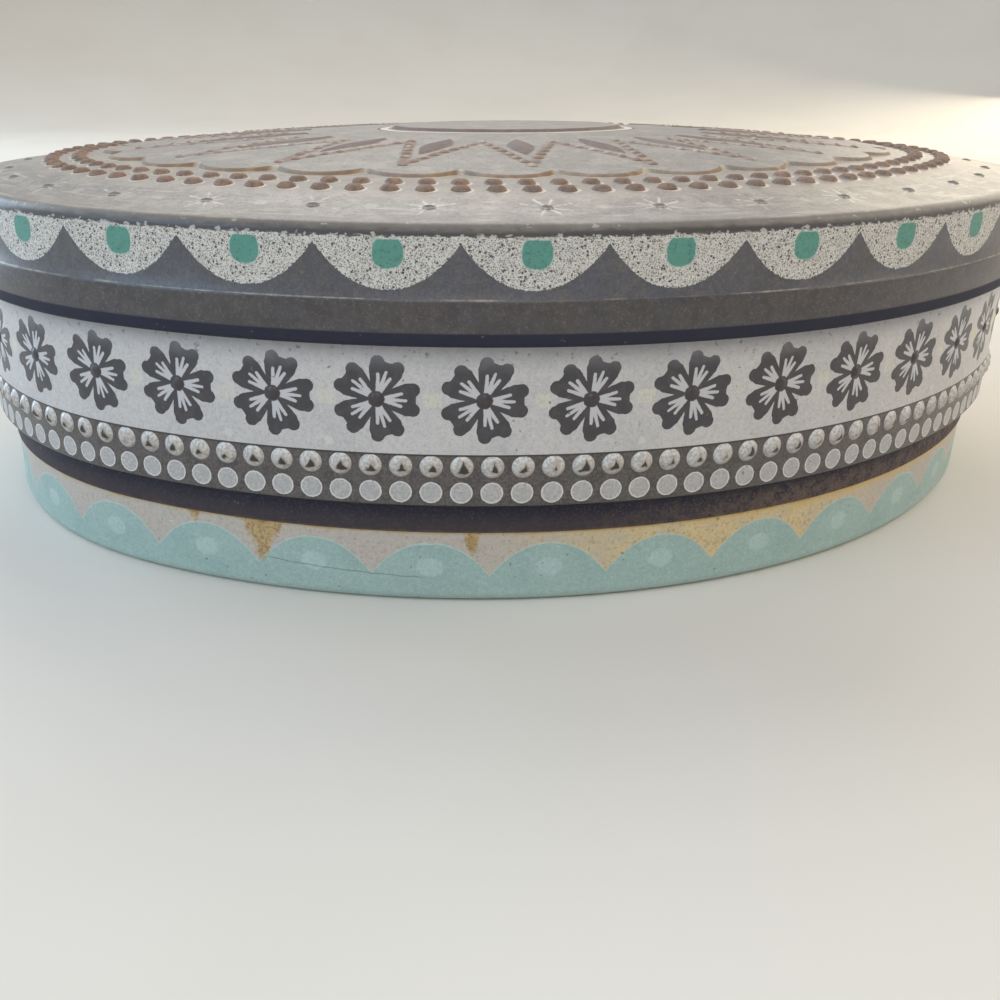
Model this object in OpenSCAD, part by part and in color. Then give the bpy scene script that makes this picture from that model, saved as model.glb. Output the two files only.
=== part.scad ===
// Oval tin box with a lift-off lid
//
// A shallow oval storage tin of printed sheet: a base pan with a rounded edge,
// a wall that is stepped in at the bottom and curled at the top, and a lid that
// drops over the wall. Lengths are in millimetres. The tin stands on z = 0, its
// long side lies along X, and the side with y < 0 is the front.
//
// Every sheet follows the same oval, four arcs that meet smoothly. A profile is
// drawn once, as distance out from the wall's outer face against height, and is
// carried round the oval, so all sheets stay parallel.

/* [Oval] */
// Length over the wall's outer face
body_length = 300; // [240:1:360]
// Width over the wall's outer face
body_width = 234; // [200:1:290]
// Radius of the wall at the two ends
end_radius = 98; // [85:1:110]
// Flat strips that stand for the curve, all round
columns = 80; // [48:4:120]

/* [Sheet] */
// Thickness of the tinplate
sheet = 0.4; // [0.3:0.05:0.6]
// Gap between sheets that are seamed together
seam_gap = 0.05; // [0.02:0.01:0.1]

/* [Base pan] */
// Height of the line where the wall's lower edge ends
foot_h = 17.7; // [12:0.1:22]
// Radius of the bottom edge
foot_edge_r = 3; // [2:0.1:6]
// Width of the pan's flange on the wall's step
flange_w = 2.6; // [1:0.1:2.9]

/* [Wall] */
// Height of the wall's lower corner
step_z = 25.6; // [24:0.1:30]
// How far the wall steps in below that corner
step_in = 3.36; // [3:0.01:5]
// Drop of the step over its depth
step_drop = 1.6; // [1:0.1:2.5]
// Outer radius of the curl at the top edge
rim_r = 1.2; // [0.9:0.1:1.6]

/* [Lid] */
// Height of the lid's lower edge
lid_z = 60.8; // [50:0.1:66]
// Height of the step round the skirt
ridge_z = 70.2; // [69:0.1:76]
// Height where the skirt turns into the rounded edge
shoulder_z = 82.6; // [78:0.1:90]
// How far the upper skirt stands out from the wall
skirt_out = 2.9; // [2.5:0.1:4]
// How much further the lower band stands out
band_out = 0.4; // [0.3:0.05:0.8]
// Radius of the rounded edge
shoulder_r = 2.4; // [2:0.1:3]
// Outer radius of the curl along the lower edge
hem_r = 1.3; // [1:0.1:1.4]
// Gap between the lid and the rim it rests on
lid_gap = 0.3; // [0.2:0.05:0.5]

/* [Lid top] */
// Distance in from the wall to the flat ring
field_in = 17.5; // [12:0.5:24]
// Rise of the outer field from the rounded edge to the ring
field_rise = 3.7; // [1:0.1:5]
// Distance in from the wall to the raised panel
panel_in = 38; // [30:0.5:44]
// Height of the panel's edge above the ring
panel_rise = 1.8; // [0.6:0.1:2.5]
// Distance in from the wall to where the panel's ovals shrink towards the middle
crown_in = 62; // [50:1:75]
// Further rise of the domed panel towards its middle
crown_rise = 5; // [2:0.1:6]
// Height of the flat middle above the dome
middle_rise = 0.9; // [0.4:0.1:1.5]

/* [Hidden] */

// The four arcs: end arcs are centred at x = ±arc_x, side arcs at y = ±arc_y
arc_x = body_length / 2 - end_radius;
inset_w = body_width / 2 - end_radius;
arc_y = (arc_x * arc_x - inset_w * inset_w) / (2 * inset_w);
side_radius = body_width / 2 + arc_y;
side_half = atan2(arc_x, arc_y);
end_half = 90 - side_half;

// Distances out from the wall's outer face
neck_out = -step_in;
pan_out = neck_out - sheet - seam_gap;
band = skirt_out + band_out;
edge_in = skirt_out - shoulder_r;
panel_wall = panel_in + sheet;

// Heights that follow from others
neck_top = step_z - step_drop;
step_slope = step_drop / step_in;
flange_z = neck_top + sheet + seam_gap;
edge_top = shoulder_z + shoulder_r;
ring_top = edge_top + field_rise;
panel_top = ring_top + panel_rise;
field_slope = field_rise / (edge_in + field_in);
rim_top = edge_top + field_slope * edge_in - sheet - lid_gap;

// Steps of a bend of a quarter turn, and of a rolled edge of three quarters
bend_steps = 4;
curl_steps = 7;

// Direction out of the oval at a length u along it, from the middle of the front
side_len = side_radius * side_half * PI / 180;
end_len = end_radius * 2 * end_half * PI / 180;
oval_len = 4 * side_len + 2 * end_len;
function turned(len, r) = len / r * 180 / PI;
function out_dir(u) =
    u < side_len ? -90 + turned(u, side_radius) :
    u < side_len + end_len ? -end_half + turned(u - side_len, end_radius) :
    u < 3 * side_len + end_len ? end_half + turned(u - side_len - end_len, side_radius) :
    u < 3 * side_len + 2 * end_len
        ? 180 - end_half + turned(u - 3 * side_len - end_len, end_radius) :
    180 + end_half + turned(u - 3 * side_len - 2 * end_len, side_radius);

// Point of the oval whose outward direction is a, at a distance out from the wall
function on_end(a) = abs(sin(a)) <= sin(end_half);
function oval_at(a, out) = on_end(a)
    ? [sign(cos(a)) * arc_x + (end_radius + out) * cos(a), (end_radius + out) * sin(a)]
    : [(side_radius + out) * cos(a), -sign(sin(a)) * arc_y + (side_radius + out) * sin(a)];

// Rows of the domed panel: distance in, and how far the oval there is shrunk. The dome
// falls off with the square of the way out from the middle to the panel's edge.
dome_rows = [[(panel_in + crown_in) / 2, 1], [crown_in, 1], [crown_in, 0.75],
             [crown_in, 0.55], [crown_in, 0.4]];
middle_share = 0.37;
function way_out(row, full) = (full / 2 - row[0]) * row[1] / (full / 2 - panel_in);
function dome_z(row) = panel_top + crown_rise
    * (1 - pow((way_out(row, body_length) + way_out(row, body_width)) / 2, 2));
middle_top = dome_z(dome_rows[len(dome_rows) - 1]) + middle_rise;
function dome(drop) = concat(
    [for (row = dome_rows) [-row[0], dome_z(row) - drop, row[1]]],
    [[-crown_in, middle_top - drop, middle_share]]);
function reversed(list) = [for (k = [len(list) - 1 : -1 : 0]) list[k]];

// Points of an arc in a profile
function arc(centre, r, from, to, steps) =
    [for (k = [0 : steps]) let (a = from + (to - from) * k / steps)
        centre + r * [cos(a), sin(a)]];

// Carries a profile round the oval; a third number of a point shrinks its oval. A loop
// closes on itself; an open profile, which runs outwards below and back inwards above,
// is closed by two flat ovals.
module carried(profile, loop) {
    n = len(profile);
    last = loop ? n - 1 : n - 2;
    points = [for (i = [0 : columns - 1]) let (a = out_dir(i * oval_len / columns))
        for (p = profile) concat(oval_at(a, p[0]) * (len(p) > 2 ? p[2] : 1), p[1])];
    skin = [for (i = [0 : columns - 1], j = [0 : last])
        let (here = i * n, next = (i + 1) % columns * n, k = (j + 1) % n)
            for (face = [[here + j, here + k, next + k], [here + j, next + k, next + j]]) face];
    below = [for (i = [0 : columns - 1]) i * n];
    above = [for (i = [columns - 1 : -1 : 0]) i * n + n - 1];
    polyhedron(points, loop ? skin : concat(skin, [below, above]));
}

// Drawn pan: floor, rounded edge, foot and the flange that hooks on the step
module base_pan() {
    edge = [pan_out - foot_edge_r, foot_edge_r];
    flange_end = flange_z + step_slope * flange_w;
    color([0.55, 0.72, 0.68]) carried(concat(
        arc(edge, foot_edge_r, -90, 0, bend_steps),
        [[pan_out, flange_z],
         [pan_out + flange_w, flange_end],
         [pan_out + flange_w, flange_end + sheet],
         [pan_out - sheet, flange_z + sheet]],
        arc(edge, foot_edge_r - sheet, 0, -90, bend_steps)
    ), false);
}

// Wall: a strip bent round the oval, stepped in below and curled in at the top
module body_wall() {
    rim = [-rim_r, rim_top - rim_r];
    color([0.75, 0.74, 0.75]) carried(concat(
        [[neck_out, foot_h],
         [neck_out, neck_top],
         [0, step_z]],
        arc(rim, rim_r, 0, 270, curl_steps),
        arc(rim, rim_r - sheet, 270, 0, curl_steps),
        [[-sheet, step_z + sheet],
         [neck_out - sheet, neck_top + sheet],
         [neck_out - sheet, foot_h]]
    ), true);
}

// Lid: one drawn sheet with a pressed top, a stepped skirt and a curled edge
module lid_shell() {
    edge = [edge_in, shoulder_z];
    hem = [band - hem_r, lid_z + hem_r];
    color([0.36, 0.35, 0.37]) carried(concat(
        reversed(dome(sheet)),
        [[-panel_wall, panel_top - sheet],
         [-panel_wall, ring_top - sheet],
         [-field_in, ring_top - sheet]],
        arc(edge, shoulder_r - sheet, 90, 0, bend_steps),
        [[skirt_out - sheet, ridge_z + band_out],
         [band - sheet, ridge_z]],
        arc(hem, hem_r - sheet, 0, -270, curl_steps),
        arc(hem, hem_r, -270, 0, curl_steps),
        [[band, ridge_z],
         [skirt_out, ridge_z + band_out]],
        arc(edge, shoulder_r, 0, 90, bend_steps),
        [[-field_in, ring_top],
         [-panel_in, ring_top],
         [-panel_in, panel_top]],
        dome(0)
    ), false);
}

base_pan();
body_wall();
lid_shell();
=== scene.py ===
# %% [markdown]
# # An oval printed tin with a lift-off lid
# The real object is three sheets of printed tinplate: a drawn pan, a wall bent from
# a strip, and a drawn lid. The frame holds the plain solids of these sheets. This
# lesson builds the dressed sheets on the same oval and paints their print with nodes.

# %% Frame and box
import math
from functools import partialmethod

import bpy
import numpy as np
from mathutils import Matrix


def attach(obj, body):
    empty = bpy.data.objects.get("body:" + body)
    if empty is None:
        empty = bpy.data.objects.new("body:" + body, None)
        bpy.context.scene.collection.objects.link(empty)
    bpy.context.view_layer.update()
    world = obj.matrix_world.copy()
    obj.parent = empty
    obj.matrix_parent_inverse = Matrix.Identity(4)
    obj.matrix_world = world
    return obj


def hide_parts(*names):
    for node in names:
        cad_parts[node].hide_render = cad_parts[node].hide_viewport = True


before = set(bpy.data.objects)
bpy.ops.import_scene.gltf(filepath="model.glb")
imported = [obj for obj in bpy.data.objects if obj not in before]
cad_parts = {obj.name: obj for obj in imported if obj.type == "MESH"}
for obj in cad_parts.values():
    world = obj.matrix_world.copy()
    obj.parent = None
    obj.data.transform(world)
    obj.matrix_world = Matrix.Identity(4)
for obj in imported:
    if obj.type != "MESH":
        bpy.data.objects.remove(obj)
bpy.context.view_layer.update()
MM = 0.001

# %% [markdown]
# ## One oval for every sheet
# Tools for tins cut ovals from four arcs that meet smoothly: two round ends and two
# flatter sides. Along each arc the outward direction turns evenly, so the direction
# at any share of the way round is a straight-line interpolation between the places
# where the arcs meet. An ellipse would be shorter to write, but a line at an even
# distance from an ellipse is no ellipse. With arcs, a sheet that lies further out only
# has larger radii, so all sheets stay parallel.

# %% The four arcs
LENGTH, WIDTH, END_R = 300.0, 234.0, 98.0
ARC_X = LENGTH / 2 - END_R
WIDTH_OVER = WIDTH / 2 - END_R
ARC_Y = (ARC_X ** 2 - WIDTH_OVER ** 2) / (2 * WIDTH_OVER)
SIDE_R = WIDTH / 2 + ARC_Y
SIDE_HALF = math.atan2(ARC_X, ARC_Y)
END_HALF = math.pi / 2 - SIDE_HALF
TURNS = np.array([-math.pi / 2, -END_HALF, END_HALF, math.pi - END_HALF,
                  math.pi + END_HALF, 1.5 * math.pi])


def arc_stops(out):
    """Length along the oval, from the middle of the front, at which each arc ends."""
    side = (SIDE_R + out) * SIDE_HALF
    end = (END_R + out) * 2 * END_HALF
    return np.cumsum([0, side, end, 2 * side, end, side])


def oval_length(out):
    """Length once round the oval that lies a distance out from the wall."""
    return float(arc_stops(out)[-1])


def direction(share, out):
    """Outward direction at a share of the way round: linear along each arc."""
    return np.interp(share * oval_length(out), arc_stops(out), TURNS)


def share_at(turn, out):
    """Share of the way round at which the oval faces a direction, the inverse of direction()."""
    return np.interp(turn, TURNS, arc_stops(out)) / oval_length(out)


def spaced(count, start, out):
    """Shares of evenly spaced places, the first of them start mm from the middle of the front."""
    return (np.arange(count) / count + start / oval_length(out)) % 1.0


def oval_point(turn, out):
    """Plan point: arc centre plus (radius + out) times the unit vector of the direction."""
    on_end = np.abs(np.sin(turn)) <= math.sin(END_HALF) + 1e-9
    radius = np.where(on_end, END_R, SIDE_R) + out
    centre_x = np.where(on_end, np.sign(np.cos(turn)) * ARC_X, 0.0)
    centre_y = np.where(on_end, 0.0, -np.sign(np.sin(turn)) * ARC_Y)
    return centre_x + radius * np.cos(turn), centre_y + radius * np.sin(turn)


print("oval once round: %.1f mm at the wall" % oval_length(0))

# %% [markdown]
# ## A sheet as a profile carried round
# Every sheet of the tin has the same profile all round. A profile is a list of (distance
# out, height). Carried round the oval it gives a grid of points, rows along the profile
# and columns round the oval. A curve with a bevel could carry it too, but here each face
# gets a finish number and its own print coordinates, kept per corner so that the pattern
# closes without a smeared column where the oval meets itself.

# %% Gathering a piece
SHARP_ANGLE = 40


class Sheet:
    """Points, faces, finishes and print coordinates of one piece, gathered block by block."""

    def __init__(self):
        self.points = []
        self.faces = []
        self.finish = []
        self.print_uv = []
        self.relief = []
        self.start = 0
        self.count = 0

    def add(self, points, faces, finish, uv, relief=None):
        """Adds a block: points in mm, faces as index rows, one finish a face, uv a corner."""
        points = np.asarray(points, float).reshape(-1, 3)
        self.points.append(points)
        self.relief.append(np.zeros(len(points)) if relief is None else relief.reshape(-1))
        self.start = self.count
        self.count += len(points)
        self.add_faces(faces, finish, uv)

    def add_faces(self, faces, finish, uv):
        """Adds faces on the points of the last block."""
        self.faces.extend((faces + self.start).tolist())
        self.finish.append(np.broadcast_to(np.asarray(finish), len(faces)))
        self.print_uv.append(np.asarray(uv, float).reshape(-1, 2))

    def add_grid(self, points, around, along, finish, loop=False, relief=None):
        """Adds a grid of points, one finish a row of faces; if its rows don't close in a loop,
        the first and the last row get a flat face each."""
        rows, columns = points.shape[:2]
        ends = np.arange(columns)[::-1], np.arange(columns) + (rows - 1) * columns
        along = np.append(along, along[0]) if loop else along
        self.add(points, grid_faces(rows, columns, loop), np.repeat(finish, columns),
                 grid_uv(around, along), relief)
        if not loop:
            self.add_faces(np.stack(ends), [finish[0], finish[-1]],
                           np.zeros((2 * columns, 2)) + [0.5, 0.0])

    def build(self, name, finishes, body, node):
        """Makes the mesh in metres, smooth except at sharp bends, and ties it to the frame."""
        mesh = bpy.data.meshes.new(name)
        mesh.from_pydata((np.concatenate(self.points) * MM).tolist(), [], self.faces)
        for finish in finishes:
            mesh.materials.append(finish)
        mesh.polygons.foreach_set("material_index", np.concatenate(self.finish).astype(np.int32))
        mesh.polygons.foreach_set("use_smooth", np.ones(len(self.faces), bool))
        layer = mesh.uv_layers.new(name="print")
        layer.data.foreach_set("uv", np.concatenate(self.print_uv).astype(np.float32).ravel())
        relief = mesh.attributes.new("relief", "FLOAT", "POINT")
        relief.data.foreach_set("value", np.concatenate(self.relief).astype(np.float32))
        mesh.set_sharp_from_angle(angle=math.radians(SHARP_ANGLE))
        mesh.update()
        piece = bpy.data.objects.new(name, mesh)
        bpy.context.scene.collection.objects.link(piece)
        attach(piece, body)
        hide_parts(node)
        print(name, len(self.faces), "faces")


# %% Grids and profiles


def grid_faces(rows, columns, loop):
    """Quads between neighbouring rows and columns; columns close on themselves, rows if a loop."""
    row = np.arange(rows if loop else rows - 1)[:, None]
    column = np.arange(columns)[None, :]
    after = (column + 1) % columns
    above = (row + 1) % rows
    corners = [row * columns + column, row * columns + after,
               above * columns + after, above * columns + column]
    return np.stack(corners, axis=-1).reshape(-1, 4)


def grid_uv(around, along):
    """Corner coordinates of those quads: around has one value more than columns, along per row."""
    u_low, v_low = np.meshgrid(around[:-1], along[:-1])
    u_high, v_high = np.meshgrid(around[1:], along[1:])
    corners = [(u_low, v_low), (u_high, v_low), (u_high, v_high), (u_low, v_high)]
    return np.stack([np.stack(pair, axis=-1) for pair in corners], axis=2)


def carry(turn, profile):
    """Grid of points: for every profile point (out, height) the oval at that distance, lifted."""
    x, y = oval_point(turn[None, :], profile[:, :1])
    return np.stack([x, y, profile[:, 1:] + 0 * x], axis=-1)


def arc(centre, radius, start, end, steps):
    """Profile points of an arc: centre plus radius times (cosine, sine) of an even angle."""
    angle = np.radians(np.linspace(start, end, steps + 1))
    return centre + radius * np.stack([np.cos(angle), np.sin(angle)], axis=1)


def even_turns(columns, out):
    """Directions of evenly spaced columns on the oval at a distance out, and their end shares."""
    shares = np.linspace(0, 1, columns + 1)
    return direction(shares, out), shares


# %% [markdown]
# ## Pressed bosses
# Round bosses are pressed from behind with a punch, so each is a small cap. Raising the
# sheet's own points would need a far finer grid all round, so the caps are shapes of
# their own. One cap is a grid of rings and spokes; adding it to every place at once with
# numpy broadcasting gives hundreds of bosses without a loop. The rim of each cap is sunk
# in its sheet and closed by a flat disc, so that every boss is a closed little solid.

# %% Caps
SPOKES, RINGS = 12, 4
SUNK = 0.2
CAP_TURN = 0.44 * math.pi


def cap_shape(radius, height, bow):
    """Rings of a cap: height times one minus a power of the radius share, after a sunk foot."""
    share = np.cos(np.linspace(0, CAP_TURN, RINGS))
    ring_radius = np.concatenate([[radius], radius * share])
    ring_height = np.concatenate([[-SUNK], height * (1 - share ** bow)])
    spoke = np.arange(SPOKES) / SPOKES * 2 * math.pi
    return ring_radius[:, None] * np.cos(spoke), ring_radius[:, None] * np.sin(spoke), \
        np.repeat(ring_height[:, None], SPOKES, axis=1)


def add_caps(sheet, centres, along, up, normal, uv_centres, uv_scale, finish, size):
    """Puts a cap of a size (radius, height, bow) at every centre: centre + along times x
    + up times y + normal times height."""
    cap_x, cap_y, cap_h = cap_shape(*size)
    rings = len(cap_x)
    spread = [axis[:, None, None, :] * part[None, :, :, None]
              for axis, part in ((along, cap_x), (up, cap_y), (normal, cap_h))]
    points = centres[:, None, None, :] + sum(spread)
    many = len(centres)
    shift = (np.arange(many) * rings * SPOKES)[:, None, None]
    quads = (grid_faces(rings, SPOKES, False)[None] + shift).reshape(-1, 4)
    flat_uv = uv_centres[:, None, None, :] + np.stack([cap_x * uv_scale, cap_y], axis=-1)[None]
    flat_uv = flat_uv.reshape(-1, 2)
    crest = np.arange(SPOKES) + (rings - 1) * SPOKES
    ends = np.stack([np.arange(SPOKES)[::-1], crest])
    ends = (ends[None] + shift).reshape(-1, SPOKES)
    sheet.add(points, quads, finish, flat_uv[quads])
    sheet.add_faces(ends, finish, flat_uv[ends])


def flat(x, y, z):
    """Stacks three coordinates into rows of vectors."""
    return np.stack(np.broadcast_arrays(x, y, z), axis=-1).astype(float)


print("a cap has", (RINGS + 1) * SPOKES, "points")

# %% [markdown]
# ## Print and wear with nodes
# A painted image could hold the print, but formulas stay sharp up close and need no file.
# So the print is drawn with arithmetic: a Math node for every plus, minus or square root.
# Written out by hand that is hundreds of lines, so a small class turns Python's own
# arithmetic into nodes: every operator is one method with its operation filled in.

# %% Arithmetic that makes nodes


class Field:
    """A number that changes over a surface; arithmetic on it adds Math nodes."""

    def __init__(self, tree, out):
        self.tree = tree
        self.out = out

    def math(self, operation, *others):
        """One Math node: this field first, then the others, each a Field or a plain number."""
        node = self.tree.nodes.new("ShaderNodeMath")
        node.operation = operation
        for socket, term in zip(node.inputs, (self,) + others):
            if isinstance(term, Field):
                self.tree.links.new(term.out, socket)
            else:
                socket.default_value = term
        return Field(self.tree, node.outputs[0])

    __add__ = __radd__ = partialmethod(math, "ADD")
    __sub__ = partialmethod(math, "SUBTRACT")
    # A number minus a field is the field times minus one, plus the number.
    __rsub__ = partialmethod(math, "MULTIPLY_ADD", -1.0)
    __mul__ = __rmul__ = partialmethod(math, "MULTIPLY")
    __truediv__ = partialmethod(math, "DIVIDE")
    __pow__ = partialmethod(math, "POWER")
    __abs__ = partialmethod(math, "ABSOLUTE")
    least = partialmethod(math, "MINIMUM")
    most = partialmethod(math, "MAXIMUM")

    def inside(self, soft=0.06):
        """A mask: 0 below minus soft, 1 above plus soft, smooth between."""
        return self.between(-soft, soft)

    def between(self, low, high):
        """Smooth rise from 0 at low to 1 at high."""
        node = self.tree.nodes.new("ShaderNodeMapRange")
        node.interpolation_type = "SMOOTHSTEP"
        node.inputs[1].default_value = low
        node.inputs[2].default_value = high
        self.tree.links.new(self.out, node.inputs[0])
        return Field(self.tree, node.outputs[0])


def distance(x, y):
    """Square root of x squared plus y squared."""
    return (x * x + y * y).math("SQRT")


def linear(rgb):
    """Screen colour from 0 to 255 turned into the linear values that shaders use."""
    share = np.asarray(rgb, float) / 255
    low = share / 12.92
    high = ((share + 0.055) / 1.055) ** 2.4
    return tuple(np.where(share <= 0.04045, low, high)) + (1.0,)


# %% [markdown]
# ## A finish in layers
# A printer lays inks over a ground, and wear takes them off again. A finish does the same:
# it starts from a ground colour, lays one colour over another through masks, and ends in
# a Principled shader with roughness and bump. Each finish could be a function of its own,
# but they all need the same coordinates and noises, so one class makes these for them.

# %% A finish
DULLED = 0.5
BUMP_STRENGTH = 0.6


class Finish:
    """One material: ground colour, colours laid over it, roughness and bump."""

    def __init__(self, name, ground, metallic=0.0, coat=0.0, coat_rough=0.2):
        self.material = bpy.data.materials.new(name)
        self.material.use_nodes = True
        self.tree = self.material.node_tree
        self.coat = coat
        self.colour = linear(ground)
        self.shader = self.tree.nodes["Principled BSDF"]
        self.feed(self.shader, {"Metallic": metallic, "Coat Weight": coat,
                                "Coat Roughness": coat_rough})
        self.place = self.node("TexCoord", {}).outputs["Object"]
        uv = self.node("UVMap", {})
        uv.uv_map = "print"
        split = self.node("SeparateXYZ", {0: uv.outputs[0]})
        self.around = Field(self.tree, split.outputs[0])
        self.along = Field(self.tree, split.outputs[1])

    def feed(self, node, inputs):
        """Fills a node's inputs: a Field or a socket is linked, a plain value is set."""
        for key, value in inputs.items():
            value = value.out if isinstance(value, Field) else value
            if isinstance(value, bpy.types.NodeSocket):
                self.tree.links.new(value, node.inputs[key])
            else:
                node.inputs[key].default_value = value

    def node(self, kind, inputs):
        """A new shader node of a kind, with its inputs filled."""
        node = self.tree.nodes.new("ShaderNode" + kind)
        self.feed(node, inputs)
        return node

    def noise(self, size, detail=3.0):
        """Cloudy noise from 0 to 1 whose patches are about size mm across."""
        node = self.node("TexNoise", {"Scale": 1 / (size * MM), "Detail": detail,
                                      "Vector": self.place})
        return Field(self.tree, node.outputs[0])

    def specks(self, size):
        """Distance in cell sizes to the nearest of scattered points, about size mm apart."""
        node = self.node("TexVoronoi", {"Scale": 1 / (size * MM), "Vector": self.place})
        return Field(self.tree, node.outputs["Distance"])

    def streaks(self, length, long, wide):
        """Noise drawn out along the print, in patches about long by wide mm."""
        turn = (self.around + 0.5).math("FRACT")
        join = self.node("CombineXYZ", {0: turn * (length / long), 1: self.along * (1 / wide)})
        node = self.node("TexNoise", {"Scale": 1.0, "Vector": join.outputs[0]})
        return Field(self.tree, node.outputs[0])

    def grit(self, strength, dark, pale):
        """Fine grain of the print: small dark and small pale specks over what is there."""
        fine = self.noise(0.45, 2.0) * 0.6 + self.noise(1.1, 2.0) * 0.4
        self.over(fine.between(0.48, 0.64) * strength, dark)
        self.over(fine.between(0.5, 0.34) * strength, pale)

    def relief(self):
        """The piece's own relief attribute."""
        node = self.node("Attribute", {})
        node.attribute_name = "relief"
        return Field(self.tree, node.outputs["Fac"])

    def cell(self, count, start, length):
        """Distance in mm along the print from the nearest of count evenly spaced places."""
        turn = self.around * count + (0.5 - start * count / length)
        return (turn.math("FRACT") - 0.5) * (length / count)

    def stretch(self, middle, length, start, full, fade, end):
        """Mask along the print: rises from start to full and falls from fade to end, in mm
        from its middle."""
        place = self.cell(1, middle, length)
        return place.between(start, full) * place.between(end, fade)

    def over(self, mask, colour):
        """Lays a colour over what is there, as far as the mask says."""
        node = self.node("Mix", {})
        node.data_type = "RGBA"
        self.feed(node, {0: mask, 6: self.colour, 7: linear(colour)})
        self.colour = node.outputs[2]

    def close(self, rough, height, depth, dull=None):
        """Links colour, roughness and a bump of depth mm; a dull mask takes the gloss away."""
        if dull is not None:
            rough = (rough + dull * DULLED).least(1.0)
            self.feed(self.shader, {"Coat Weight": self.coat - dull * self.coat})
        bump = self.node("Bump", {"Strength": BUMP_STRENGTH, "Distance": depth * MM,
                                  "Height": height})
        self.feed(self.shader, {"Base Color": self.colour, "Roughness": rough,
                                "Normal": bump.outputs[0]})
        return self.material


# %% [markdown]
# ## Bare tinplate
# Inside, and under its floor, the tin is not printed: dull, slightly warm tinplate.
# Scratches could be drawn one by one, but little of it shows, so one plain metal finish,
# mottled by large and small noise, is enough.

# %% Inside finish


def make_bare_tin():
    """Metal of mottled grey: large and small noise move its colour and gloss."""
    tin = Finish("bare_tin", (196, 192, 184), metallic=0.8)
    clouds = tin.noise(18)
    grain = tin.noise(1.2)
    tin.over(clouds.between(0.45, 0.75) * 0.6, (176, 171, 162))
    tin.over(tin.noise(5).between(0.62, 0.72) * 0.35, (150, 136, 116))
    tin.over(grain.between(0.5, 0.7) * 0.3, (160, 156, 149))
    return tin.close(0.36 + clouds * 0.2, grain, 0.05)


BARE_TIN = make_bare_tin()
print("made", BARE_TIN.name)

# %% [markdown]
# ## The foot and its print
# The pan's foot carries a ring of mint arches on a sandy ground, each with a paler spot.
# They are flat ink, so they are drawn, not modelled: an arch is the area under a curve
# that falls away from its middle, and needs only the distance from the nearest middle.
# Rust creeps down from the seam above it, in streaks on the left and as a wash on the
# right, and the rounded edge has lost its paint in spots. Noise would spread the stains
# evenly, so each is given by its place, its half width at the seam and its lower end.

# %% Foot finish
PAN_OUT = -3.81
FOOT_TOP = 17.7
ARCHES, ARCH_AT = 31, 0.5
ARCH_TOP, ARCH_DROP, BOW = 15.0, 7.9, 2.2
SPOT_Z, SPOT_R = 8.9, 2.25
RUST_AT, WASH_AT = 95, 0
STAINS = ((-90.6, 5.4, 7.2), (-43.0, 2.4, 11.0), (-107.6, 2.4, 14.0))
SCRATCH_FROM, SCRATCH_TO = (-89.0, 8.6), (-54.0, 6.4)


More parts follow.
